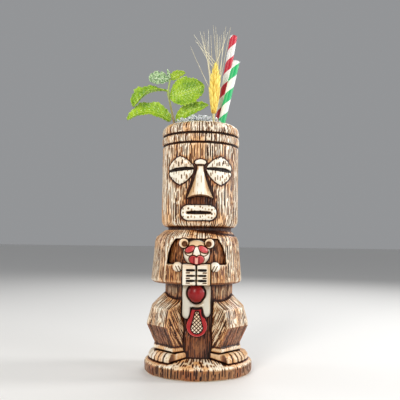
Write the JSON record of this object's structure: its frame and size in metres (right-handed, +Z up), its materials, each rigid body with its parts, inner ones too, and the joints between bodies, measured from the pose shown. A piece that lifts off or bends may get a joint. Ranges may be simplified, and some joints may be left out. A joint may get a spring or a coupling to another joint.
{
  "type": "tiki mug",
  "caption": "Tall ceramic tiki mug with a sleeping mask over a squatting figure that holds a cub, dressed with paper straws, mint, wheat and crushed ice.",
  "frame": {"origin": "centre of the round underside, on the table plane", "axes": "+Z up along the mug's axis, mask faces -Y, +X to the viewer's right"},
  "size_m": [0.1048, 0.0876, 0.2832],
  "materials": {
    "carved_glaze": "glossy antique glaze, cream on the ridges and dark brown in the cuts",
    "cream_glaze": "glossy ivory glaze with brown outlines",
    "green_straw_paper": "waxed paper, green and white spiral",
    "grey_glaze": "glossy grey-cream glaze",
    "ice": "wet crushed ice",
    "mint_leaf": "fresh quilted leaf",
    "mint_stalk": "fresh woody-green stalk",
    "red_glaze": "glossy crimson glaze",
    "red_straw_paper": "waxed paper, red and white spiral",
    "wheat_grain": "dry golden husks, satin",
    "wheat_straw": "dry straw, satin"
  },
  "bodies": {
    "mug": {"base_plinth": "carved_glaze", "brow_bead": "carved_glaze", "crushed_ice": "ice", "cub_belly": "red_glaze", "cub_head": "cream_glaze", "cub_legs": "grey_glaze", "cub_muzzle": "red_glaze", "cub_nose": "cream_glaze", "left_arm": "carved_glaze", "left_cub_ear": "cream_glaze", "left_cub_eye": "red_glaze", "left_cub_paw": "cream_glaze", "left_foot": "carved_glaze", "left_hand": "carved_glaze", "left_leg": "carved_glaze", "left_lower_eyelid": "carved_glaze", "left_upper_eyelid": "carved_glaze", "lower_lip": "carved_glaze", "nose": "carved_glaze", "pear_core": "cream_glaze", "pear_pendant": "red_glaze", "right_arm": "carved_glaze", "right_cub_ear": "cream_glaze", "right_cub_eye": "red_glaze", "right_cub_paw": "cream_glaze", "right_foot": "carved_glaze", "right_hand": "carved_glaze", "right_leg": "carved_glaze", "right_lower_eyelid": "carved_glaze", "right_upper_eyelid": "carved_glaze", "upper_lip": "carved_glaze", "vessel": "carved_glaze"},
    "red_straw_lift": {"red_straw": "red_straw_paper"},
    "green_straw_lift": {"green_straw": "green_straw_paper"},
    "mint_sprig": {"mint_leaf_drooping": "mint_leaf", "mint_leaf_large": "mint_leaf", "mint_leaf_low_left": "mint_leaf", "mint_leaf_low_right": "mint_leaf", "mint_leaf_pale": "mint_leaf", "mint_leaf_small": "mint_leaf", "mint_stem": "mint_stalk", "mint_tip": "mint_leaf"},
    "wheat_sprig": {"wheat_awns": "wheat_straw", "wheat_ear": "wheat_grain", "wheat_stalk": "wheat_straw"}
  },
  "joints": [
    {"name": "red_straw_slide", "type": "slide", "parent": "mug", "child": "red_straw_lift", "axis": [0.1616, 0, 0.9869], "range_m": [0, 0.13]},
    {"name": "green_straw_slide", "type": "slide", "parent": "mug", "child": "green_straw_lift", "axis": [0.2215, 0, 0.9751], "range_m": [0, 0.15]},
    {"name": "mint_slide", "type": "slide", "parent": "mug", "child": "mint_sprig", "axis": [0, 0, 1], "range_m": [0, 0.05]},
    {"name": "wheat_slide", "type": "slide", "parent": "mug", "child": "wheat_sprig", "axis": [0.0279, 0, 0.9996], "range_m": [0, 0.062]}
  ]
}
